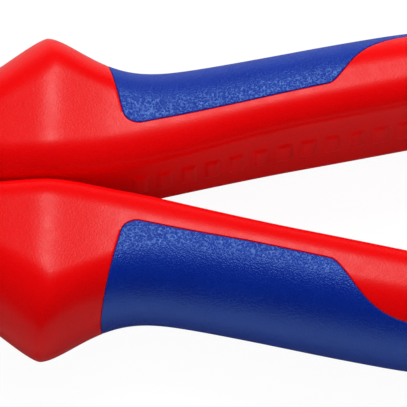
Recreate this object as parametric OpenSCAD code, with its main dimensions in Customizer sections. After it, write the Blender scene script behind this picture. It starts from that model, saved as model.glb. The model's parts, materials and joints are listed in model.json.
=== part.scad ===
// One-hand cable cutter: two crossing forged halves on one adjustable pivot,
// each with an overmoulded grip of a hard core, a shell and a soft zone.
// Frame: the tool lies flat on z = 0 with its pivot axis on +Z, jaws towards -X.

/* [Pose] */
// Angle by which the handles are opened, 0 is closed
opening = 0; // [0:1:32]

/* [Blades] */
// Pivot axis to the jaw tips
jaw_len = 49.5; // [46:0.5:52]
// Thickness of each blade at the lap
blade_t = 5; // [4:0.1:5.5]
// Radius of the lap disc
disc_r = 15.5; // [14:0.1:16]
// Radius of the concave cutting edge
edge_r = 46; // [42:0.5:52]
// Width of the ground bevel behind the edge
bevel_w = 5; // [3:0.1:6]

/* [Pivot] */
// Diameter of the pivot bolt
bolt_d = 8; // [6:0.1:9]
// Width across flats of the bolt head and nut
head_af = 13; // [11:0.5:14]
// Diameter of the two bearing washers
washer_d = 18; // [16:0.5:20]

/* [Grips] */
// Angle between each closed handle and the centre line
spread = 13.1; // [11:0.1:15]
// Pivot axis to the point where the inner faces part
vee_x = 35.6; // [34:0.1:38]
// Length of the grip behind that point
grip_end = 83; // [79:0.5:95]
// Width of a handle behind its guard
grip_w = 18.8; // [18:0.1:20]
// Thickness of a handle
grip_t = 18.6; // [17.4:0.1:20]
// Height that the finger guard adds to the width
guard_h = 11.85; // [8:0.05:13]
// Thickness of the soft zone
soft_t = 2; // [1.5:0.1:2.2]

/* [Hidden] */
$fn = 96;

// Heights: the nut and both grips rest on z = 0, so the shear plane is half a grip up
shear_z = grip_t / 2;
lap_gap = 0.06;
bolt_r = bolt_d / 2;
fixed_fit = 0.02;
running_fit = 0.05;
washer_t = 0.8;
locking_t = 0.6;
head_t = 3;
nut_t = shear_z - blade_t - running_fit - washer_t - locking_t;

// Blades
edge_x = -27;
edge_y = -edge_r - 0.3;
back_r = 33;
back_x = -20;
back_y = -18;
bevel_land = 0.6;
jaw_from = -5;
jaw_tip_thinning = 1.6;
taper_from = disc_r + 2;
shank_half_t = 4.4;
shoulder_r = disc_r + 0.7;
stop_gap = 0.05;
tang_half_t = 2.6;
beyond = 60;

// Pivot
head_chamfer = 0.7;
flat_chamfer = 0.3;
lock_teeth = 12;
lock_tooth = [1.2, 1.3];

// Grips, in the handle's own frame: u runs along the handle from the point where
// the inner faces part, v runs outwards and z is measured from the shear plane
grip_front = -13.3;
front_r = 4;
inner_front_r = 0.8;
butt_r = 7;
corner_front_w = 5.6;
corner_front_h = 3.4;
corner_rear_h = 3;
corner_to = 5.7;
corner_bend_u = 9;
corner_bend_len = 9;
corner_min = 0.4;
vee_r = 4;
wave_middle = 0.15;
wave_h = 0.55;
wave_from = 13;
wave_to = 43;
wave_rate = 6;
guard_u = 4.6;
guard_front_len = 16.8;
guard_front_power = 1.415;
guard_rear_len = 8.7;
guard_rear_power = 1.6;
waist_from = 24;
waist_len = 12;
waist_dip = 0.35;
slope_from = 46;
slope_rate = 0.001;
bow_from = 60;
bow_rate = 0.004;
neck_u = 22;
neck_dip = 0.85;
neck_front_len = 15;
neck_front_power = 4;
neck_rear_len = 15;
nose_u = -14;
nose_dip = 1.3;
nose_len = 10.3;
ridge_u = 2;
ridge_h = 0.15;
ridge_len = 3.5;
lean_v = 14;
back_round_r = 10;
guard_round_r = 1.5;
guard_round_u = 3;
guard_round_len = 8;
core_from = -6;
core_to = 68;
core_lo = 3.6;
core_hi = 13.4;
core_half_t = 4.4;
core_corner = 2.2;
zone_from = 13.6;
zone_to = 77;
zone_v = 6.3;
zone_corner_h = 2.8;
zone_corner_len = 3.5;
zone_rise_from = 34;
zone_rise_rate = 0.02;
lobe_u = 48.6;
lobe_len = 6.7;
lobe_power = 1.6;
strip_w = 3.4;
strip_end_h = 0.8;
strip_end_len = 2.5;
joint_line_w = 0.3;
plain_split = 0.45;

// Place in the row's frame of a point given in the upper handle's frame
function in_row(u, v) = [vee_x + u * cos(spread) - v * sin(spread), u * sin(spread) + v * cos(spread)];

// The handle bows back towards the centre line near its end
function bow(u) = bow_rate * pow(max(0, u - bow_from), 2);

// Inner face of the grip: parallel to the centre line between the guards,
// then along the handle with a slight wave
function inner_v(u) =
    tan(spread) * (sqrt(u * u + vee_r * vee_r) - u) / 2
    + wave_middle - wave_h * cos(wave_rate * (min(u, wave_to) - wave_from)) - bow(u);

// Rise of the finger guard, long in front of its crest and steep behind it
function guard(u) = u < guard_u
    ? guard_h * exp(-pow((guard_u - u) / guard_front_len, guard_front_power))
    : guard_h * exp(-pow((u - guard_u) / guard_rear_len, guard_rear_power));

// Back of the grip without the guard: a slight waist behind the guard, then a slow taper
function waist(u) = waist_dip * (1 - exp(-pow(max(0, u - waist_from) / waist_len, 2)));
function back_line(u) = grip_w - waist(u) - slope_rate * pow(max(0, u - slope_from), 2) - bow(u);
function outer_v(u) = back_line(u) + guard(u);

// Half the thickness at distance a along the tool's centre line: thinner at the neck
// behind the guard and towards the front, with a low ridge over the guard
function neck(a) = a < neck_u
    ? neck_dip * exp(-pow((neck_u - a) / neck_front_len, neck_front_power))
    : neck_dip * exp(-pow((a - neck_u) / neck_rear_len, 2));
function nose(a) = nose_dip * exp(-pow((a - nose_u) / nose_len, 2));
function ridge(a) = ridge_h * exp(-pow((a - ridge_u) / ridge_len, 2));
function half_t(u, v) =
    let (a = u - tan(spread) * (v - lean_v))
    grip_t / 2 - neck(a) - nose(a) + ridge(a);
function outer_r(u) = back_round_r + guard_round_r * exp(-pow((u - guard_round_u) / guard_round_len, 2));

// Depth by which the grip's rounded ends draw in at distance u
function end_inset(u) =
    u > grip_end - butt_r
        ? butt_r - sqrt(max(0, butt_r * butt_r - pow(u - grip_end + butt_r, 2)))
    : u < grip_front + front_r
        ? front_r - sqrt(max(0, front_r * front_r - pow(grip_front + front_r - u, 2)))
    : 0;
function inner_inset(u) = u < 0 ? min(end_inset(u), inner_front_r) : end_inset(u);

// Width and height of the soft inner corner, which reaches almost to the soft zone
// behind the guard
function corner_share(u) =
    let (t = min(1, max(0, (u - corner_bend_u) / corner_bend_len)))
    t * t * (3 - 2 * t);
function corner_w(u) = corner_front_w + (corner_to - inner_v(u) - corner_front_w) * corner_share(u);
function corner_h(u) = corner_front_h + (corner_rear_h - corner_front_h) * corner_share(u);

// Height of the side and back surface over v, drawn in by d
function surface_z(u, v, d) =
    let (inset = d + end_inset(u))
    let (back = outer_r(u) - inset, start = outer_v(u) - inset - back)
    (half_t(u, v) - inset) * (v <= start ? 1 : sqrt(max(0, 1 - pow((v - start) / back, 2))));

// Boundary of the soft zone: rounded at its ends, almost level along the handle,
// stepping out past the rear lobe to a strip along the back
function zone_level(u) = zone_v + zone_rise_rate * max(0, u - zone_rise_from);
function lobe_share(u) = 1 - exp(-pow((u - lobe_u) / lobe_len, lobe_power));
function zone_edge(u) = u < lobe_u
    ? zone_level(u) + zone_corner_h * pow(max(0, 1 - (u - zone_from) / zone_corner_len), 2)
    : zone_level(u) + (back_line(u) - strip_w - zone_level(u)) * lobe_share(u)
        + strip_end_h * pow(max(0, 1 - (zone_to - u) / strip_end_len), 2);

// Points around the back from v = from, drawn in by d, in steps that close up towards the edge
function back_points(u, from, d, first) =
    let (outer = outer_v(u) - end_inset(u) - d)
    [for (a = [first:15:90]) let (v = from + (outer - from) * sin(a))
        [u, v, a == 90 ? 0 : surface_z(u, v, d)]];

function mirrored(points) = [for (i = [len(points) - 1:-1:0]) [points[i][0], points[i][1], -points[i][2]]];
function without_last(points) = [for (i = [0:len(points) - 2]) points[i]];

// Section of the shell: inner corner, side up to the joint line, then the seat of the soft
// zone at depth d, or the plain surface where d is 0
function shell_ring(u, d) =
    let (inner = inner_v(u) + inner_inset(u), inset = end_inset(u))
    let (w = max(corner_w(u) - inset, corner_min), h = max(corner_h(u) - inset, corner_min))
    let (outer = outer_v(u) - inset)
    let (split = d > 0 ? zone_edge(u) : inner + plain_split * (outer - inner))
    let (side = split - joint_line_w, near = inner + w)
    let (half = concat(
        [for (a = [0:30:90]) let (v = inner + w * (1 - cos(a)))
            [u, v, half_t(u, v) - inset - h * (1 - sin(a))]],
        [for (s = [0.4, 0.7, 1]) let (v = near + (side - near) * s) [u, v, surface_z(u, v, 0)]],
        [[u, split, surface_z(u, split, d)]],
        back_points(u, split, d, 15)))
    concat(half, mirrored(without_last(half)));

// Solid through a list of rings with equal numbers of points
module loft(rings) {
    n = len(rings[0]);
    last = len(rings) - 1;
    front_cap = [for (j = [0:n - 1]) j];
    rear_cap = [for (j = [n - 1:-1:0]) last * n + j];
    sides = [for (i = [0:last - 1], j = [0:n - 1]) let (k = (j + 1) % n)
        [[i * n + j, (i + 1) * n + j, i * n + k], [i * n + k, (i + 1) * n + j, (i + 1) * n + k]]];
    polyhedron(
        [for (r = rings) each r],
        concat([front_cap], [for (pair = sides) each pair], [rear_cap]));
}

// Stations, closest at the rounded ends, over the guard and past the rear lobe
front_stations = [for (a = [0:30:90]) grip_front + front_r * (1 - cos(a))];
guard_stations = [-6.5, -3.5, -1, 1.5, 3.5, 4.6, 6, 8, 10, 12];
zone_stations = [
    14.2, 15.2, 17, 20, 25, 32, 40, 46,
    lobe_u, 50, 51.5, 53, 54.5, 56, 58, 60, 65, 70, 74.5, 76];
butt_stations = [for (a = [22.5:22.5:90]) grip_end - butt_r * (1 - sin(a))];

// Places the handle's own frame at the end of the shank
module in_handle() {
    translate([vee_x, 0, 0]) rotate(spread) children();
}

module at_shear_plane() {
    translate([0, 0, shear_z]) children();
}

// The half whose handle is above the centre line turns with the opening
module rear_half() {
    at_shear_plane() rotate(opening) children();
}

// The other half is the same forging turned over about the X axis
module turned_over() {
    rotate([180, 0, 0]) children();
}

// Blades ------------------------------------------------------------------

module jaw_outline() {
    intersection() {
        difference() {
            translate([back_x, back_y]) circle(r = back_r, $fn = 180);
            translate([edge_x, edge_y]) circle(r = edge_r, $fn = 180);
        }
        circle(r = jaw_len, $fn = 180);
        translate([jaw_from - beyond, -beyond]) square([beyond, 2 * beyond]);
    }
}

// Outline of the shank, below the centre line
module shank_outline() {
    mirror([0, 1]) polygon([
        [5, stop_gap], [19.5, stop_gap],
        in_row(grip_front - fixed_fit, 5.8), in_row(grip_front - fixed_fit, 16.2),
        [9, 12.6]]);
}

// Outline of the tang in the handle's frame
module tang_outline() {
    polygon([[-17, 6.4], [-17, 15.5], [-8, 12.6], [60, 12], [64, 10.4], [64, 7.4], [60, 5.8], [-8, 5.4]]);
}

module tang() {
    mirror([0, 1, 0]) in_handle()
        translate([0, 0, -tang_half_t]) linear_extrude(2 * tang_half_t) tang_outline();
}

module bevel_cut() {
    difference() {
        translate([edge_x, edge_y, bevel_land])
            cylinder(h = blade_t, r1 = edge_r, r2 = edge_r + bevel_w, $fn = 180);
        cylinder(h = 3 * blade_t, r = disc_r + 0.2, center = true);
    }
}

// Plane that thins the jaw towards its tip
module jaw_taper() {
    translate([-taper_from, -beyond, blade_t])
        rotate([0, -atan(jaw_tip_thinning / (jaw_len - taper_from)), 0])
        translate([-beyond, 0, 0]) cube([beyond, 2 * beyond, blade_t]);
}

// One half: jaw above the centre line, handle below it, lap side facing down
module half_forging(bore_r) {
    difference() {
        union() {
            difference() {
                translate([0, 0, lap_gap / 2]) linear_extrude(blade_t - lap_gap / 2) {
                    circle(r = disc_r, $fn = 180);
                    jaw_outline();
                    shank_outline();
                }
                bevel_cut();
                jaw_taper();
            }
            difference() {
                translate([0, 0, -shank_half_t]) linear_extrude(2 * shank_half_t) shank_outline();
                cylinder(h = 4 * blade_t, r = shoulder_r, center = true, $fn = 180);
            }
            tang();
        }
        cylinder(h = 4 * blade_t, r = bore_r, center = true);
    }
}

module front_blade() {
    color("dimgray") at_shear_plane() half_forging(bolt_r + fixed_fit);
}

module rear_blade() {
    color("dimgray") rear_half() turned_over() half_forging(bolt_r + running_fit);
}

// Pivot -------------------------------------------------------------------

// Hexagon with its corners chamfered at the top
module hexagon(height) {
    corner = head_af / cos(30) / 2;
    intersection() {
        cylinder(h = height, r = corner, $fn = 6);
        rotate_extrude()
            polygon([[0, 0], [corner, 0], [corner, height - head_chamfer],
                [head_af / 2 - flat_chamfer, height], [0, height]]);
    }
}

module washer(height, r, hole_r) {
    difference() {
        cylinder(h = height, r = r);
        translate([0, 0, -1]) cylinder(h = height + 2, r = hole_r);
    }
}

module pivot_bolt() {
    color("silver") at_shear_plane() {
        translate([0, 0, blade_t + washer_t]) hexagon(head_t);
        translate([0, 0, -shear_z]) cylinder(h = shear_z + blade_t + washer_t, r = bolt_r);
    }
}

module front_washer() {
    color("gainsboro") at_shear_plane() translate([0, 0, blade_t])
        washer(washer_t, washer_d / 2, bolt_r + fixed_fit);
}

module rear_washer() {
    color("gainsboro") translate([0, 0, nut_t + locking_t])
        washer(washer_t, washer_d / 2, bolt_r + fixed_fit);
}

// Toothed ring that keeps the nut from turning
module locking_washer() {
    ring_r = head_af / 2 - flat_chamfer;
    color("darkgray") translate([0, 0, nut_t]) {
        washer(locking_t, ring_r, bolt_r + fixed_fit);
        for (i = [0:lock_teeth - 1])
            rotate(i * 360 / lock_teeth) translate([ring_r - flat_chamfer, -lock_tooth[1] / 2, 0])
                cube([lock_tooth[0], lock_tooth[1], locking_t]);
    }
}

module pivot_nut() {
    color("silver") difference() {
        translate([0, 0, nut_t]) turned_over() hexagon(nut_t);
        translate([0, 0, -1]) cylinder(h = nut_t + 2, r = bolt_r + fixed_fit);
    }
}

// Grips -------------------------------------------------------------------

// Rounded bar around the tang, in the handle's frame, grown by g
module core_bar(g = 0) {
    r = core_corner + g;
    translate([core_from - g, 0, 0]) rotate([90, 0, 90]) linear_extrude(core_to - core_from + 2 * g) {
        translate([core_lo - g, -core_half_t + core_corner])
            square([core_hi - core_lo + 2 * g, 2 * (core_half_t - core_corner)]);
        translate([core_lo + core_corner, -core_half_t - g])
            square([core_hi - core_lo - 2 * core_corner, 2 * (core_half_t + g)]);
        for (v = [core_lo + core_corner, core_hi - core_corner], z = [-1, 1])
            translate([v, z * (core_half_t - core_corner)]) circle(r = r, $fn = 32);
    }
}

module tang_hole() {
    hole_half_t = tang_half_t + fixed_fit;
    translate([0, 0, -hole_half_t]) linear_extrude(2 * hole_half_t)
        offset(delta = fixed_fit) tang_outline();
}

module grip_core() {
    in_handle() difference() {
        core_bar();
        tang_hole();
    }
}

module grip_shell() {
    in_handle() difference() {
        loft(concat(
            [for (u = concat(front_stations, guard_stations, [zone_from - joint_line_w])) shell_ring(u, 0)],
            [for (u = concat([zone_from], zone_stations, [zone_to])) shell_ring(u, soft_t)],
            [for (u = concat([zone_to + joint_line_w], butt_stations)) shell_ring(u, 0)]));
        core_bar(fixed_fit);
        tang_hole();
    }
}

// Section of the soft zone: over the back from the joint line on one side to the other,
// and back again at its depth
function soft_outer(u) = let (half = back_points(u, zone_edge(u) + fixed_fit, 0, 0))
    concat(half, mirrored(without_last(half)));
function soft_inner(u) = let (half = back_points(u, zone_edge(u) + fixed_fit, soft_t - fixed_fit, 0))
    concat(half, mirrored(without_last(half)));

module soft_zone() {
    stations = concat([zone_from + fixed_fit], zone_stations, [zone_to - fixed_fit]);
    outside = [for (u = stations) soft_outer(u)];
    inside = [for (u = stations) soft_inner(u)];
    n = len(outside[0]);
    m = len(stations);
    under = n * m;
    skin = [for (i = [0:m - 2], j = [0:n - 2]) let (a = i * n + j, b = a + n)
        [[a, b, a + 1], [a + 1, b, b + 1],
        [under + a, under + a + 1, under + b], [under + a + 1, under + b + 1, under + b]]];
    ends = [for (j = [0:n - 2]) let (a = j, b = (m - 1) * n + j)
        [[a, a + 1, under + a], [a + 1, under + a + 1, under + a],
        [b, under + b, b + 1], [b + 1, under + b, under + b + 1]]];
    rims = [for (i = [0:m - 2]) let (a = i * n, b = a + n, c = a + n - 1, d = b + n - 1)
        [[a, under + a, b], [b, under + a, under + b],
        [c, d, under + c], [d, under + d, under + c]]];
    in_handle() polyhedron(
        [for (r = concat(outside, inside)) each r],
        [for (group = concat(skin, ends, rims)) each group]);
}

module lower_grip_core() { color("crimson") at_shear_plane() turned_over() grip_core(); }
module lower_grip_shell() { color("red") at_shear_plane() turned_over() grip_shell(); }
module lower_soft_zone() { color("mediumblue") at_shear_plane() turned_over() soft_zone(); }
module upper_grip_core() { color("crimson") rear_half() grip_core(); }
module upper_grip_shell() { color("red") rear_half() grip_shell(); }
module upper_soft_zone() { color("mediumblue") rear_half() soft_zone(); }

front_blade();
rear_blade();
pivot_bolt();
front_washer();
rear_washer();
locking_washer();
pivot_nut();
lower_grip_core();
lower_grip_shell();
lower_soft_zone();
upper_grip_core();
upper_grip_shell();
upper_soft_zone();
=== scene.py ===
"""Looks of the cable cutter: moulded two-colour grips, burnished blades and a bright pivot."""

import json
import math

import bpy
import numpy as np
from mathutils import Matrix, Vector


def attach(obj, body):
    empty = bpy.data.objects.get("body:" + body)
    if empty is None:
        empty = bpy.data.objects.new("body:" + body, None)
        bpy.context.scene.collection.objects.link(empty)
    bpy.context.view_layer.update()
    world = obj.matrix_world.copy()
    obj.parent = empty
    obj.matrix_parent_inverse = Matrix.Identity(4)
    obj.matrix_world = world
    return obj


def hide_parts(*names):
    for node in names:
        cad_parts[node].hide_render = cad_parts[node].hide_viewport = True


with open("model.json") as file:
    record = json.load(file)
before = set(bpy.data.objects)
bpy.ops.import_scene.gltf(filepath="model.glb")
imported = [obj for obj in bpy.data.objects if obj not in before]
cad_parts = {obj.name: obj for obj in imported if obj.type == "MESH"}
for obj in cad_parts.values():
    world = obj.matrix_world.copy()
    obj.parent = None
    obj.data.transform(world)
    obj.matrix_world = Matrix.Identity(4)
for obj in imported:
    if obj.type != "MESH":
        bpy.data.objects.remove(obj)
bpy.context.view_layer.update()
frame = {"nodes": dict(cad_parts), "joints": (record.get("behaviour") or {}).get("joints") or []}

MM = 0.001
HINGE = frame["joints"][0]
SHEAR_Z = HINGE["pos_m"][2] / MM

# ---------------------------------------------------------------- handle shape
# The handle's own frame, in mm: u along the handle from the point where the inner
# faces part, v outwards, z from the shear plane. The figures are those of the CAD model.

SPREAD = math.radians(13.1)
VEE_X = 35.6
GRIP_FRONT = -13.3
GRIP_END = 83.0
GRIP_WIDTH = 18.8
GRIP_HALF_T = SHEAR_Z
GUARD_U = 4.6
GUARD_H = 11.85
VEE_ROUNDING = 4.0
WAVE_MIDDLE = 0.15
WAVE_HEIGHT = 0.55
WAVE_FROM = 13.0
WAVE_TO = 43.0
WAVE_RATE = 6.0
GUARD_FRONT_LENGTH = 16.8
GUARD_FRONT_POWER = 1.415
GUARD_REAR_LENGTH = 8.7
GUARD_REAR_POWER = 1.6
WAIST_FROM = 24.0
WAIST_LENGTH = 12.0
WAIST_DIP = 0.35
SLOPE_FROM = 46.0
SLOPE_RATE = 0.001
BOW_FROM = 60.0
BOW_RATE = 0.004
NECK_U = 22.0
NECK_DIP = 0.85
NECK_FRONT_LENGTH = 15.0
NECK_FRONT_POWER = 4
NECK_REAR_LENGTH = 15.0
NOSE_U = -14.0
NOSE_DIP = 1.3
NOSE_LENGTH = 10.3
RIDGE_U = 2.0
RIDGE_HEIGHT = 0.15
RIDGE_LENGTH = 3.5
LEAN_V = 14.0
BACK_ROUNDING = 10.0
GUARD_ROUNDING = 1.5
GUARD_ROUNDING_U = 3.0
GUARD_ROUNDING_LENGTH = 8.0
CORNER_FRONT_W = 5.6
CORNER_FRONT_H = 3.4
CORNER_REAR_H = 3.0
CORNER_TO = 5.7
CORNER_BEND_U = 9.0
CORNER_BEND_LENGTH = 9.0
BUTT_LENGTH = 9.0
BUTT_POWER = 2.6
BUTT_TIP_SHARE = 0.04
FRONT_ROUNDING = 4.0
INNER_FRONT_ROUNDING = 0.8

ZONE_FROM = 13.6
ZONE_TO = 77.0
ZONE_V = 6.3
ZONE_CORNER = 2.8
ZONE_RISE_FROM = 34.0
ZONE_RISE_RATE = 0.02
LOBE_U = 48.6
LOBE_LENGTH = 6.7
LOBE_POWER = 1.6
STRIP_WIDTH = 3.4
STRIP_END_HEIGHT = 0.8
STRIP_END_LENGTH = 2.5
SOFT_DEPTH = 2.0
BOND_GAP = 0.05
GROOVE = 0.04
EDGE_ROUND = 0.16
EDGE_DROP = 0.09

MARK_FIRST = 14.5
MARK_PITCH = 4.2
MARK_COUNT = 12
MARK_WIDTH = 2.2
MARK_LENGTH = 4.3
MARK_MIDDLE = -0.3
MARK_SLOPE = 0.6
MARK_RISE = 0.4
MARK_BAND = 0.5

# How finely the shape is drawn: points along each part of a section, steps of a ring
# around the handle, and rings along it. Steps and spaces along the handle are in mm,
# the arc's step is in degrees.

FACE_POINTS = 15
CORNER_POINTS = 24
FLAT_POINTS = 40
BEND_POINTS = 90
FACE_STEPS = 32
CORNER_STEPS = 18
FLAT_STEPS = 20
SEAT_STEPS = 36
SOFT_STEPS = 44
SEAT_LIP = 0.02
RING_STEP = 0.2
RING_SPACE = 0.1
SLOPE_STEP = 0.05
ARC_STEP = 6
FRONT_RINGS = 10
FRONT_FACE_SHARES = (0.3, 0.6, 0.85, 0.96)
EDGE_RING_SHARES = np.array([1.0, 0.6, 0.3, 0.0])
LEVEL_RINGS = 160
LOBE_RINGS = 40
LOBE_REACH = 8.0
STRIP_RINGS = 56
STRIP_END_ROUND = 3.0
BUTT_RINGS = 18
SHARP_ANGLE = math.radians(50)


def smooth(t):
    t = np.clip(t, 0.0, 1.0)
    return t * t * (3.0 - 2.0 * t)


def bow(u):
    return BOW_RATE * max(0.0, u - BOW_FROM) ** 2


def inner_v(u):
    flare = math.tan(SPREAD) * (math.sqrt(u * u + VEE_ROUNDING**2) - u) / 2
    turn = math.radians(WAVE_RATE * (min(u, WAVE_TO) - WAVE_FROM))
    return flare + WAVE_MIDDLE - WAVE_HEIGHT * math.cos(turn) - bow(u)


def guard(u):
    if u < GUARD_U:
        return GUARD_H * math.exp(-(((GUARD_U - u) / GUARD_FRONT_LENGTH) ** GUARD_FRONT_POWER))
    return GUARD_H * math.exp(-(((u - GUARD_U) / GUARD_REAR_LENGTH) ** GUARD_REAR_POWER))


def back_line(u):
    waist = WAIST_DIP * (1.0 - math.exp(-((max(0.0, u - WAIST_FROM) / WAIST_LENGTH) ** 2)))
    return GRIP_WIDTH - waist - SLOPE_RATE * max(0.0, u - SLOPE_FROM) ** 2 - bow(u)


def outer_v(u):
    return back_line(u) + guard(u)


def half_thickness(u, v=LEAN_V):
    """Half the thickness: a low ridge over the guard, square to the tool's centre line,
    between the thinner nose and neck."""
    along = u - math.tan(SPREAD) * (v - LEAN_V)
    before = (np.maximum(NECK_U - along, 0.0) / NECK_FRONT_LENGTH) ** NECK_FRONT_POWER
    behind = (np.maximum(along - NECK_U, 0.0) / NECK_REAR_LENGTH) ** 2
    nose = NOSE_DIP * np.exp(-(((along - NOSE_U) / NOSE_LENGTH) ** 2))
    ridge = RIDGE_HEIGHT * np.exp(-(((along - RIDGE_U) / RIDGE_LENGTH) ** 2))
    return GRIP_HALF_T - NECK_DIP * np.exp(-before - behind) - nose + ridge


def back_radius(u):
    off = (u - GUARD_ROUNDING_U) / GUARD_ROUNDING_LENGTH
    return BACK_ROUNDING + GUARD_ROUNDING * math.exp(-(off**2))


def zone_line(u):
    """Where the soft zone begins behind its rounded front corner, across the handle."""
    level = ZONE_V + ZONE_RISE_RATE * max(0.0, u - ZONE_RISE_FROM)
    if u < LOBE_U:
        return level
    step = 1.0 - math.exp(-(((u - LOBE_U) / LOBE_LENGTH) ** LOBE_POWER))
    end = STRIP_END_HEIGHT * max(0.0, 1.0 - (ZONE_TO - u) / STRIP_END_LENGTH) ** 2
    return level + (back_line(u) - STRIP_WIDTH - level) * step + end


def zone_edge(u, gap):
    """Edge of the soft zone at u, moved outwards from the zone by gap."""
    if u < ZONE_FROM + ZONE_CORNER:
        radius = ZONE_CORNER + gap
        across = min(ZONE_FROM + ZONE_CORNER - u, radius)
        return ZONE_V + ZONE_CORNER - math.sqrt(radius**2 - across**2)
    slope = (zone_line(u + SLOPE_STEP) - zone_line(u - SLOPE_STEP)) / (2 * SLOPE_STEP)
    return zone_line(u) - gap * math.sqrt(1.0 + slope**2)


def corner_size(u):
    """Width and height of the soft inner corner, which reaches almost to the soft zone
    behind the guard."""
    behind = float(smooth((u - CORNER_BEND_U) / CORNER_BEND_LENGTH))
    width = CORNER_FRONT_W + (CORNER_TO - inner_v(u) - CORNER_FRONT_W) * behind
    return width, CORNER_FRONT_H + (CORNER_REAR_H - CORNER_FRONT_H) * behind


def half_section(u, inset_back=0.0):
    """Upper half of the section at u as dense points (v, z), from the middle of the inner
    face over the side to the middle of the back."""
    inner, outer, t = inner_v(u), outer_v(u), half_thickness(u)
    back = back_radius(u)
    width, height = corner_size(u)
    a = np.radians(np.linspace(0.0, 90.0, CORNER_POINTS))
    face_z = np.linspace(0.0, t - height, FACE_POINTS + 1)[:-1]
    face = np.stack([np.full_like(face_z, inner), face_z], 1)
    corner = np.stack([inner + width * (1 - np.cos(a)), t - height * (1 - np.sin(a))], 1)
    flat_v = np.linspace(inner + width, outer - back, FLAT_POINTS)[1:-1]
    flat = np.stack([flat_v, np.full_like(flat_v, t)], 1)
    b = np.radians(np.linspace(0.0, 90.0, BEND_POINTS))
    outer -= inset_back
    back -= inset_back
    t -= inset_back
    bend = np.stack([outer - back * (1 - np.sin(b)), t * np.cos(b)], 1)
    if inset_back:
        flat[:, 1] = t
    section = np.concatenate([face, corner, flat, bend])
    section[:, 1] *= half_thickness(u, section[:, 0]) / half_thickness(u)
    return section


def lengths(points):
    return np.concatenate([[0.0], np.cumsum(np.linalg.norm(np.diff(points, axis=0), axis=1))])


def at_length(points, run, where):
    return np.stack([np.interp(where, run, points[:, k]) for k in range(points.shape[1])], 1)


def split_length(points, run, v):
    """Length along the section at which it passes v, beyond the inner corner."""
    start = FACE_POINTS + CORNER_POINTS + 1
    return float(np.interp(v, points[start:, 0], run[start:]))


def in_row(points, side):
    """Handle points (u, v, z) to the row frame in metres; side is +1 for the upper handle."""
    u, v, z = points[..., 0], points[..., 1], points[..., 2]
    x = VEE_X + u * math.cos(SPREAD) - v * math.sin(SPREAD)
    y = u * math.sin(SPREAD) + v * math.cos(SPREAD)
    return np.stack([x, side * y, SHEAR_Z + side * z], -1) * MM


# ------------------------------------------------------------------- the grips

def edge_drop(distance):
    """How far a moulded edge is rounded down at a distance from the joint line."""
    return EDGE_DROP * max(0.0, 1.0 - distance / EDGE_ROUND) ** 2


def shell_half(u, depth=0.0):
    """Upper half ring of the shell: the inner face and side up to the joint line, then the
    back, sunk by depth to make the seat of the soft zone."""
    section = half_section(u)
    run = lengths(section)
    edge = zone_edge(min(max(u, ZONE_FROM - GROOVE), ZONE_TO + GROOVE), GROOVE)
    split = split_length(section, run, edge)
    corner_from, corner_to = run[FACE_POINTS], run[FACE_POINTS + CORNER_POINTS]
    side = at_length(section, run, np.concatenate([
        np.linspace(0.0, corner_from, FACE_STEPS, endpoint=False),
        np.linspace(corner_from, corner_to, CORNER_STEPS, endpoint=False),
        np.linspace(corner_to, split - EDGE_ROUND, FLAT_STEPS),
    ]))
    lip = at_length(section, run, [split - EDGE_ROUND / 2, split])
    if depth:
        lip[:, 1] -= [min(depth, edge_drop(d)) for d in (EDGE_ROUND / 2, 0.0)]
        section = half_section(u, depth)
        run = lengths(section)
        split = split_length(section, run, edge)
    back = at_length(section, run, np.linspace(split + SEAT_LIP, run[-1], SEAT_STEPS))
    return np.concatenate([side, lip, back])


def full_ring(u, half):
    """Ring of points (u, v, z) from a half ring and its mirror image."""
    ring = np.concatenate([half, half[-2:0:-1] * [1.0, -1.0]])
    return np.concatenate([np.full((len(ring), 1), u), ring], 1)


def mark_rise(u, z):
    """Height of the row of small raised bars on the inner face."""
    place = (u - MARK_FIRST) / MARK_PITCH
    if place < -0.5 or place > MARK_COUNT - 0.5:
        return 0.0
    off = abs(place - round(place)) * MARK_PITCH
    along = smooth((MARK_WIDTH / 2 + MARK_SLOPE / 2 - off) / MARK_SLOPE)
    across = smooth((MARK_LENGTH / 2 + MARK_SLOPE / 2 - np.abs(z - MARK_MIDDLE)) / MARK_SLOPE)
    return MARK_RISE * along * across


def marked(u, ring):
    """Raises the small bars on the part of the ring that is the inner face."""
    on_face = ring[:, 1] < inner_v(u) + MARK_BAND
    ring[:, 1] -= on_face * mark_rise(u, ring[:, 2])
    return ring


def tapered(u, ring):
    """Draws a ring in where it lies on the rounded butt."""
    start = GRIP_END - BUTT_LENGTH
    if u <= start:
        return ring
    share = max(1.0 - ((u - start) / BUTT_LENGTH) ** BUTT_POWER, 0.0) ** (1 / BUTT_POWER)
    share = max(share, BUTT_TIP_SHARE)
    middle = (inner_v(u) + outer_v(u)) / 2
    return ring * [1.0, share, share] + [0.0, middle * (1.0 - share), 0.0]


def drawn_in(u, inset):
    """Ring of the plain surface at u, drawn in at its sides and back, and a little at its
    inner face."""
    ring = full_ring(u, shell_half(u))
    low, high = ring[:, 1].min(), ring[:, 1].max()
    t = ring[:, 2].max()
    near = min(inset, INNER_FRONT_ROUNDING)
    ring[:, 1] = low + near + (ring[:, 1] - low) * (high - low - inset - near) / (high - low)
    ring[:, 2] *= (t - inset) / t
    return ring


def front_rings():
    """The flat front face from its middle outwards, then its rounded edge."""
    edge = []
    for angle in np.radians(np.linspace(0.0, 90.0, FRONT_RINGS)):
        u = GRIP_FRONT + FRONT_ROUNDING * (1 - math.cos(angle))
        edge.append(drawn_in(u, FRONT_ROUNDING * (1 - math.sin(angle))))
    middle = edge[0].mean(axis=0)
    face = [edge[0] * share + middle * (1 - share) for share in FRONT_FACE_SHARES]
    return face + edge


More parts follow.
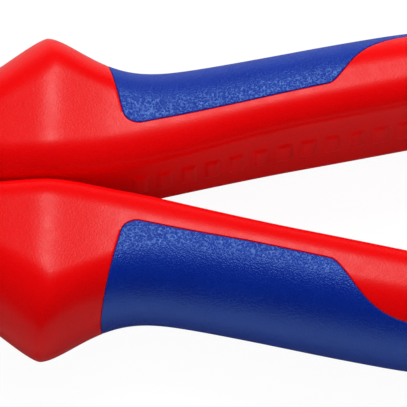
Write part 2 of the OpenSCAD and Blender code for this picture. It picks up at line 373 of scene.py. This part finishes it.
def zone_stations(gap):
    """Distances along the soft zone, closest around its front corner and its rear lobe.
    The zone is enlarged by gap."""
    arc = np.radians(np.arange(0, 91, ARC_STEP))
    corner_to = ZONE_FROM + ZONE_CORNER
    lobe_to = LOBE_U + LOBE_REACH
    corner = corner_to - (ZONE_CORNER + gap) * np.cos(arc)
    level = np.linspace(corner_to + RING_STEP, LOBE_U, LEVEL_RINGS, endpoint=False)
    lobe = np.linspace(LOBE_U, lobe_to, LOBE_RINGS, endpoint=False)
    strip = np.linspace(lobe_to, ZONE_TO - STRIP_END_ROUND, STRIP_RINGS, endpoint=False)
    end = ZONE_TO + gap - STRIP_END_ROUND * (1 - np.sin(arc))
    return np.concatenate([corner, level, lobe, strip, end])


def shell_rings(with_marks):
    rings = front_rings()
    seat_from = ZONE_FROM - GROOVE
    seat_to = ZONE_TO + GROOVE
    plain_from = GRIP_FRONT + FRONT_ROUNDING + RING_STEP
    for u in np.arange(plain_from, seat_from - EDGE_ROUND - RING_SPACE, RING_STEP):
        rings.append(full_ring(u, shell_half(u)))
    for distance in EDGE_ROUND * EDGE_RING_SHARES:
        u = seat_from - distance
        rings.append(full_ring(u, shell_half(u, edge_drop(distance))))
    for u in zone_stations(GROOVE):
        rings.append(tapered(u, full_ring(u, shell_half(u, SOFT_DEPTH))))
    for distance in EDGE_ROUND * EDGE_RING_SHARES[::-1]:
        u = seat_to + distance
        rings.append(tapered(u, full_ring(u, shell_half(u, edge_drop(distance)))))
    start = GRIP_END - BUTT_LENGTH
    first = math.asin((seat_to + 2 * EDGE_ROUND - start) / BUTT_LENGTH)
    for angle in np.linspace(first, math.pi / 2, BUTT_RINGS):
        u = start + BUTT_LENGTH * math.sin(angle)
        rings.append(tapered(u, full_ring(u, shell_half(u))))
    if with_marks:
        rings = [marked(ring[0, 0], ring) for ring in rings]
    return rings


def loft(rings):
    """Points and faces of a closed tube through rings of equal length."""
    count, n = len(rings), len(rings[0])
    faces = []
    for i in range(count - 1):
        for j in range(n):
            k = (j + 1) % n
            faces.append((i * n + j, i * n + k, (i + 1) * n + k, (i + 1) * n + j))
    faces.append(tuple(range(n - 1, -1, -1)))
    faces.append(tuple(range((count - 1) * n, count * n)))
    return np.concatenate(rings), faces


def soft_sections(u):
    """Skin and underside of the soft zone at u, each from one edge over the back to the other."""
    edge = zone_edge(u, -GROOVE)
    from_end = min(u - ZONE_FROM, ZONE_TO - u) - GROOVE
    section = half_section(u, edge_drop(from_end))
    run = lengths(section)
    split = split_length(section, run, edge)
    skin = at_length(section, run, np.linspace(split + EDGE_ROUND, run[-1], SOFT_STEPS))
    lip = at_length(section, run, [split, split + EDGE_ROUND / 2])
    lip[:, 1] -= [edge_drop(0.0), edge_drop(EDGE_ROUND / 2)]
    under = half_section(u, SOFT_DEPTH - BOND_GAP)
    run = lengths(under)
    split = split_length(under, run, edge)
    base = at_length(under, run, np.linspace(split, run[-1], SOFT_STEPS + 2))
    both = []
    for half in (np.concatenate([lip, skin]), base):
        whole = np.concatenate([half, half[-2::-1] * [1.0, -1.0]])
        whole = np.concatenate([np.full((len(whole), 1), u), whole], 1)
        both.append(tapered(u, whole))
    return both


def soft_zone():
    """Points and faces of the soft zone as a loft of closed rings, skin first, then underside."""
    rings = []
    for u in zone_stations(-GROOVE):
        skin, base = soft_sections(u)
        rings.append(np.concatenate([skin, base[::-1]]))
    points, faces = loft(rings)
    n = len(rings[0])
    half = n // 2
    for row in (0, len(rings) - 1):
        first = row * n
        for j in range(half - 1):
            quad = (first + j, first + j + 1, first + n - 2 - j, first + n - 1 - j)
            faces.append(quad if row else quad[::-1])
    del faces[-2 * (half - 1) - 2 : -2 * (half - 1)]
    return points, faces


def make_piece(name, shape, side, body, material, stands_for):
    """A moulded piece from handle points, on the body that its handle belongs to."""
    points, faces = shape
    mesh = bpy.data.meshes.new(name)
    mesh.from_pydata([tuple(p) for p in in_row(points, side)], [], faces)
    mesh.validate()
    mesh.polygons.foreach_set("use_smooth", [True] * len(mesh.polygons))
    mesh.set_sharp_from_angle(angle=SHARP_ANGLE)
    mesh.materials.append(material)
    mesh.update()
    piece = bpy.data.objects.new(name, mesh)
    bpy.context.scene.collection.objects.link(piece)
    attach(piece, body)
    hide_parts(stands_for)
    return piece


# ------------------------------------------------------------------- materials

def colour(red, green, blue):
    """Linear colour from the 0 to 255 values of a screen colour."""
    parts = []
    for value in (red / 255, green / 255, blue / 255):
        parts.append(value / 12.92 if value <= 0.04045 else ((value + 0.055) / 1.055) ** 2.4)
    return (*parts, 1.0)


class Look:
    """A node material in the making. Every method that makes a pattern returns its output."""

    def __init__(self, name, **surface):
        self.material = bpy.data.materials.new(name)
        self.material.use_nodes = True
        self.tree = self.material.node_tree
        self.surface = self.tree.nodes["Principled BSDF"]
        for key, value in surface.items():
            socket = key.replace("_", " ").title().replace("Ior", "IOR")
            self.surface.inputs[socket].default_value = value
        self.place = self.tree.nodes.new("ShaderNodeTexCoord").outputs["Object"]
        self.height = None

    def put(self, socket, value):
        if isinstance(value, bpy.types.NodeSocket):
            self.tree.links.new(value, socket)
        else:
            socket.default_value = value

    def stretched(self, x, y, z):
        """The object's coordinates scaled per axis, for grain that runs one way."""
        node = self.tree.nodes.new("ShaderNodeMapping")
        self.put(node.inputs["Vector"], self.place)
        node.inputs["Scale"].default_value = (x, y, z)
        return node.outputs["Vector"]

    def noise(self, size, detail=2.0, rough=0.5, place=None):
        """Noise with features of about size mm."""
        node = self.tree.nodes.new("ShaderNodeTexNoise")
        self.put(node.inputs["Vector"], place or self.place)
        node.inputs["Scale"].default_value = 1.0 / (size * MM)
        node.inputs["Detail"].default_value = detail
        node.inputs["Roughness"].default_value = rough
        return node.outputs["Fac"]

    def cells(self, size, jitter=1.0):
        """Distance to the middle of the nearest grain, for grains of about size mm."""
        node = self.tree.nodes.new("ShaderNodeTexVoronoi")
        self.put(node.inputs["Vector"], self.place)
        node.inputs["Scale"].default_value = 1.0 / (size * MM)
        node.inputs["Randomness"].default_value = jitter
        return node.outputs["Distance"]

    def levels(self, value, low, high, to_low=0.0, to_high=1.0):
        """Maps value from low..high to to_low..to_high, held at the ends."""
        node = self.tree.nodes.new("ShaderNodeMapRange")
        node.interpolation_type = "SMOOTHSTEP"
        parts = (value, low, high, to_low, to_high)
        for socket, part in zip(node.inputs[:5], parts):
            self.put(socket, part)
        return node.outputs["Result"]

    def combine(self, kind, a, b):
        node = self.tree.nodes.new("ShaderNodeMath")
        node.operation = kind
        self.put(node.inputs[0], a)
        self.put(node.inputs[1], b)
        return node.outputs["Value"]

    def mix(self, share, a, b):
        """Colour a where share is 0 and b where it is 1."""
        node = self.tree.nodes.new("ShaderNodeMix")
        node.data_type = "RGBA"
        self.put(node.inputs["Factor"], share)
        self.put(node.inputs["A"], a)
        self.put(node.inputs["B"], b)
        return node.outputs["Result"]

    def edges(self, low=0.52, high=0.6):
        """1 on convex edges, where handling wears a surface."""
        node = self.tree.nodes.new("ShaderNodeNewGeometry")
        return self.levels(node.outputs["Pointiness"], low, high)

    def set(self, name, value):
        self.put(self.surface.inputs[name], value)

    def relief(self, pattern, height, rounding=0.0):
        """Adds a bump of the given height in mm, over edges rounded by the given radius in mm."""
        node = self.tree.nodes.new("ShaderNodeBump")
        node.inputs["Distance"].default_value = height * MM
        self.put(node.inputs["Height"], pattern)
        if self.height is not None:
            self.put(node.inputs["Normal"], self.height)
        elif rounding:
            bevel = self.tree.nodes.new("ShaderNodeBevel")
            bevel.inputs["Radius"].default_value = rounding * MM
            self.put(node.inputs["Normal"], bevel.outputs["Normal"])
        self.height = node.outputs["Normal"]
        self.put(self.surface.inputs["Normal"], self.height)


def shell_look():
    """Bright red moulded plastic with a fine spark-eroded grain."""
    look = Look("shell_red", specular_ior_level=0.38)
    tone = look.noise(9.0, detail=3.0)
    base = look.mix(look.levels(tone, 0.3, 0.7), colour(245, 4, 8), colour(248, 6, 10))
    grain = look.noise(0.34, detail=2.0, rough=0.6)
    base = look.mix(look.levels(grain, 0.3, 0.6, 0.35, 0.0), base, colour(222, 1, 5))
    worn = look.combine("MULTIPLY", look.edges(), look.noise(1.5, detail=4.0))
    worn = look.combine("MULTIPLY", worn, 0.2)
    look.set("Base Color", look.mix(worn, base, colour(252, 60, 56)))
    look.set("Roughness", look.levels(look.noise(2.2, detail=3.0), 0.3, 0.7, 0.285, 0.32))
    look.relief(grain, 0.016)
    look.relief(look.noise(1.3, detail=1.0), 0.008)
    return look.material


def soft_look():
    """Blue rubber-like plastic with a coarser grain that sparkles, and painted shade in the gaps
    between its grains.
    """
    gloss_tint = (0.32, 0.58, 1.0, 1.0)
    look = Look("soft_blue", ior=2.0, specular_ior_level=1.0, specular_tint=gloss_tint)
    tone = look.noise(7.0, detail=3.0)
    base = look.mix(look.levels(tone, 0.3, 0.7), colour(3, 42, 166), colour(5, 48, 173))
    grain = look.cells(0.3)
    # Painted shade: the gaps between the grains, where the relief sinks, are coloured darker.
    painted_gap_shade = look.levels(grain, 0.3, 0.8, 0.0, 0.4)
    look.set("Base Color", look.mix(painted_gap_shade, base, colour(2, 31, 146)))
    look.set("Roughness", look.levels(look.noise(1.1, detail=3.0), 0.3, 0.7, 0.34, 0.39))
    look.relief(look.levels(grain, 0.0, 0.75, 1.0, 0.0), 0.035)
    look.relief(look.noise(0.22, detail=1.0), 0.024)
    return look.material


def core_look():
    """Dark glass-filled plastic of the core inside the grip."""
    look = Look("core_plastic", roughness=0.5)
    grain = look.noise(0.8, detail=4.0)
    look.set("Base Color", look.mix(grain, colour(26, 27, 30), colour(44, 45, 50)))
    look.relief(grain, 0.03)
    return look.material


def forged_look():
    """Burnished forged steel: mottled grey with fine scratches along the tool."""
    look = Look("forged_steel", metallic=1.0)
    mottle = look.noise(3.0, detail=5.0, rough=0.6)
    scratches = look.noise(0.5, detail=4.0, rough=0.7, place=look.stretched(0.06, 1.0, 1.0))
    base = look.mix(look.levels(mottle, 0.35, 0.7), colour(118, 120, 124), colour(150, 152, 155))
    bright = look.combine("MULTIPLY", look.edges(0.51, 0.58), 0.7)
    base = look.mix(bright, base, colour(205, 206, 208))
    look.set("Base Color", base)
    look.set("Roughness", look.levels(scratches, 0.3, 0.7, 0.29, 0.42))
    look.relief(scratches, 0.012, rounding=0.25)
    look.relief(mottle, 0.02)
    return look.material


def plated_look(name, tint, rounding):
    """Bright plated steel with fine turning marks."""
    look = Look(name, metallic=1.0)
    marks = look.noise(0.35, detail=4.0, rough=0.7)
    cloud = look.noise(2.5, detail=3.0)
    look.set("Base Color", look.mix(look.levels(cloud, 0.3, 0.7), tint, colour(214, 214, 212)))
    look.set("Roughness", look.levels(marks, 0.3, 0.7, 0.285, 0.36))
    look.relief(marks, 0.01, rounding=rounding)
    return look.material


# ----------------------------------------------------------------- the assembly

HANDLES = {
    "upper": (1, "rear_half"),
    "lower": (-1, "front_half"),
}

shell_material = shell_look()
soft_material = soft_look()
soft_shape = soft_zone()
for handle, (side, body) in HANDLES.items():
    shell_shape = loft(shell_rings(with_marks=side > 0))
    make_piece(f"{handle}_shell_moulding", shell_shape, side, body,
               shell_material, f"{handle}_grip_shell")
    make_piece(f"{handle}_soft_inlay", soft_shape, side, body,
               soft_material, f"{handle}_soft_zone")

NODE_LOOKS = {
    "front_blade": forged_look(),
    "pivot_bolt": plated_look("pivot_steel", colour(178, 178, 176), 0.2),
    "front_washer": plated_look("washer_steel", colour(190, 186, 172), 0.08),
    "lower_grip_core": core_look(),
}
NODE_LOOKS["rear_blade"] = NODE_LOOKS["front_blade"]
NODE_LOOKS["pivot_nut"] = NODE_LOOKS["pivot_bolt"]
NODE_LOOKS["rear_washer"] = NODE_LOOKS["front_washer"]
NODE_LOOKS["locking_washer"] = NODE_LOOKS["front_washer"]
NODE_LOOKS["upper_grip_core"] = NODE_LOOKS["lower_grip_core"]
METAL_NODES = [name for name in NODE_LOOKS if not name.endswith("grip_core")]
for name, material in NODE_LOOKS.items():
    node = frame["nodes"][name]
    node.data.materials.clear()
    node.data.materials.append(material)

# -------------------------------------------------------------- stage and light
# Lengths are in mm; levels, glow and paper are shares of white.

VIEW_ELEVATION = math.radians(56.9)
VIEW_DISTANCE = 750.0
VIEW_WIDTH = 68.4
VIEW_ROLL = math.radians(0.4)
VIEW_DROP = 0.79
CLIP_START = 10.0
FLOOR_REACH = 4000.0
FLOOR_GLOW = 0.95
FLOOR_PAPER = 0.09
FLOOR_BOUNCE = 0.42
WALL_LEVEL = 1.0
HORIZON_LEVEL = 0.45
HORIZON_FADES_AT = 0.4
ZENITH_SHARE = 0.04
TARGET = Vector((60.46, 0.0, SHEAR_Z))
SCENE = bpy.context.scene


def aim(thing, place, target):
    """Puts a camera or light at place, in mm, turned towards target."""
    thing.location = place * MM
    thing.rotation_euler = (target - place).to_track_quat("-Z", "Y").to_euler()


def add_camera():
    data = bpy.data.cameras.new("camera")
    camera = bpy.data.objects.new("camera", data)
    SCENE.collection.objects.link(camera)
    back = Vector((0.0, -math.cos(VIEW_ELEVATION), math.sin(VIEW_ELEVATION)))
    up = Vector((0.0, math.sin(VIEW_ELEVATION), math.cos(VIEW_ELEVATION)))
    centre = TARGET - up * VIEW_DROP
    aim(camera, centre + back * VIEW_DISTANCE, centre)
    camera.rotation_euler.rotate_axis("Z", VIEW_ROLL)
    data.lens = data.sensor_width * VIEW_DISTANCE / VIEW_WIDTH
    data.clip_start = CLIP_START * MM
    SCENE.camera = camera


def add_light(name, azimuth, elevation, distance, width, height, radiance,
              in_reflections=True, only_for=None):
    """A soft rectangular lamp, in mm, seen from the handles at that azimuth from +Y and that
    elevation in degrees. It lights everything, or only the objects of the collection only_for."""
    data = bpy.data.lights.new(name, "AREA")
    data.shape = "RECTANGLE"
    data.size = width * MM
    data.size_y = height * MM
    data.energy = radiance * math.pi * width * height * MM * MM
    lamp = bpy.data.objects.new(name, data)
    SCENE.collection.objects.link(lamp)
    a, e = math.radians(azimuth), math.radians(elevation)
    towards = Vector((math.sin(a) * math.cos(e), math.cos(a) * math.cos(e), math.sin(e)))
    aim(lamp, TARGET + towards * distance, TARGET)
    lamp.visible_camera = False
    lamp.visible_glossy = in_reflections
    data.cycles.use_multiple_importance_sampling = in_reflections
    if only_for:
        lamp.light_linking.receiver_collection = only_for


def grey(level):
    return (level, level, level, 1.0)


def by_ray(tree, for_camera, for_others):
    """Chooses between two shaders: what the camera sees, and what lights the object."""
    path = tree.nodes.new("ShaderNodeLightPath")
    choice = tree.nodes.new("ShaderNodeMixShader")
    tree.links.new(path.outputs["Is Camera Ray"], choice.inputs["Fac"])
    tree.links.new(for_others, choice.inputs[1])
    tree.links.new(for_camera, choice.inputs[2])
    return choice.outputs["Shader"]


def paper(tree, level):
    node = tree.nodes.new("ShaderNodeBsdfDiffuse")
    node.inputs["Color"].default_value = grey(level)
    return node.outputs["BSDF"]


def glow(tree, level):
    node = tree.nodes.new("ShaderNodeEmission")
    node.inputs["Color"].default_value = grey(level)
    return node.outputs["Emission"]


def add_floor():
    """A pale floor that glows for the camera, so that the object's shadow on it stays faint."""
    mesh = bpy.data.meshes.new("floor")
    signs = [(-1, -1), (1, -1), (1, 1), (-1, 1)]
    corners = [(x * FLOOR_REACH * MM, y * FLOOR_REACH * MM, 0.0) for x, y in signs]
    mesh.from_pydata(corners, [], [(0, 1, 2, 3)])
    floor = bpy.data.objects.new("floor", mesh)
    SCENE.collection.objects.link(floor)
    material = bpy.data.materials.new("floor_paper")
    material.use_nodes = True
    tree = material.node_tree
    tree.nodes.clear()
    out = tree.nodes.new("ShaderNodeOutputMaterial")
    lit = tree.nodes.new("ShaderNodeAddShader")
    tree.links.new(glow(tree, FLOOR_GLOW), lit.inputs[0])
    tree.links.new(paper(tree, FLOOR_PAPER), lit.inputs[1])
    seen = by_ray(tree, lit.outputs["Shader"], paper(tree, FLOOR_BOUNCE))
    tree.links.new(seen, out.inputs["Surface"])
    material.cycles.emission_sampling = "NONE"
    mesh.materials.append(material)


def add_world():
    """White behind the object for the camera; for all light a pale horizon that fades to
    an almost dark sky."""
    world = bpy.data.worlds.new("studio")
    world.use_nodes = True
    tree = world.node_tree
    tree.nodes.clear()
    out = tree.nodes.new("ShaderNodeOutputWorld")
    tones = []
    for level in (WALL_LEVEL, HORIZON_LEVEL):
        node = tree.nodes.new("ShaderNodeBackground")
        node.inputs["Color"].default_value = grey(level)
        tones.append(node.outputs["Background"])
    place = tree.nodes.new("ShaderNodeTexCoord")
    split = tree.nodes.new("ShaderNodeSeparateXYZ")
    fade = tree.nodes.new("ShaderNodeMapRange")
    fade.interpolation_type = "SMOOTHSTEP"
    tree.links.new(place.outputs["Generated"], split.inputs["Vector"])
    tree.links.new(split.outputs["Z"], fade.inputs["Value"])
    fade.inputs["From Max"].default_value = HORIZON_FADES_AT
    fade.inputs["To Min"].default_value = 1.0
    fade.inputs["To Max"].default_value = ZENITH_SHARE
    tree.links.new(fade.outputs["Result"], tones[1].node.inputs["Strength"])
    tree.links.new(by_ray(tree, *tones), out.inputs["Surface"])
    SCENE.world = world
    world.cycles.sampling_method = "NONE"


add_camera()
add_light("key", azimuth=0.0, elevation=42.0, distance=800.0,
          width=600.0, height=600.0, radiance=5.0, in_reflections=False)
add_light("front_fill", azimuth=180.0, elevation=26.0, distance=800.0,
          width=600.0, height=500.0, radiance=1.5, in_reflections=False)
add_light("overhead", azimuth=0.0, elevation=90.0, distance=900.0,
          width=1800.0, height=1800.0, radiance=0.46, in_reflections=False)
add_light("softbox", azimuth=-3.0, elevation=57.0, distance=3000.0,
          width=225.0, height=375.0, radiance=32.0)
metal = bpy.data.collections.new("metal")
for name in METAL_NODES:
    metal.objects.link(frame["nodes"][name])
for azimuth in (45.0, 135.0, 225.0, 315.0):
    add_light("metal_panel", azimuth, elevation=22.0, distance=900.0,
              width=900.0, height=600.0, radiance=0.9, only_for=metal)
add_light("metal_overhead", azimuth=0.0, elevation=90.0, distance=700.0,
          width=900.0, height=500.0, radiance=1.2, only_for=metal)
add_floor()
add_world()
SCENE.view_settings.view_transform = "Standard"
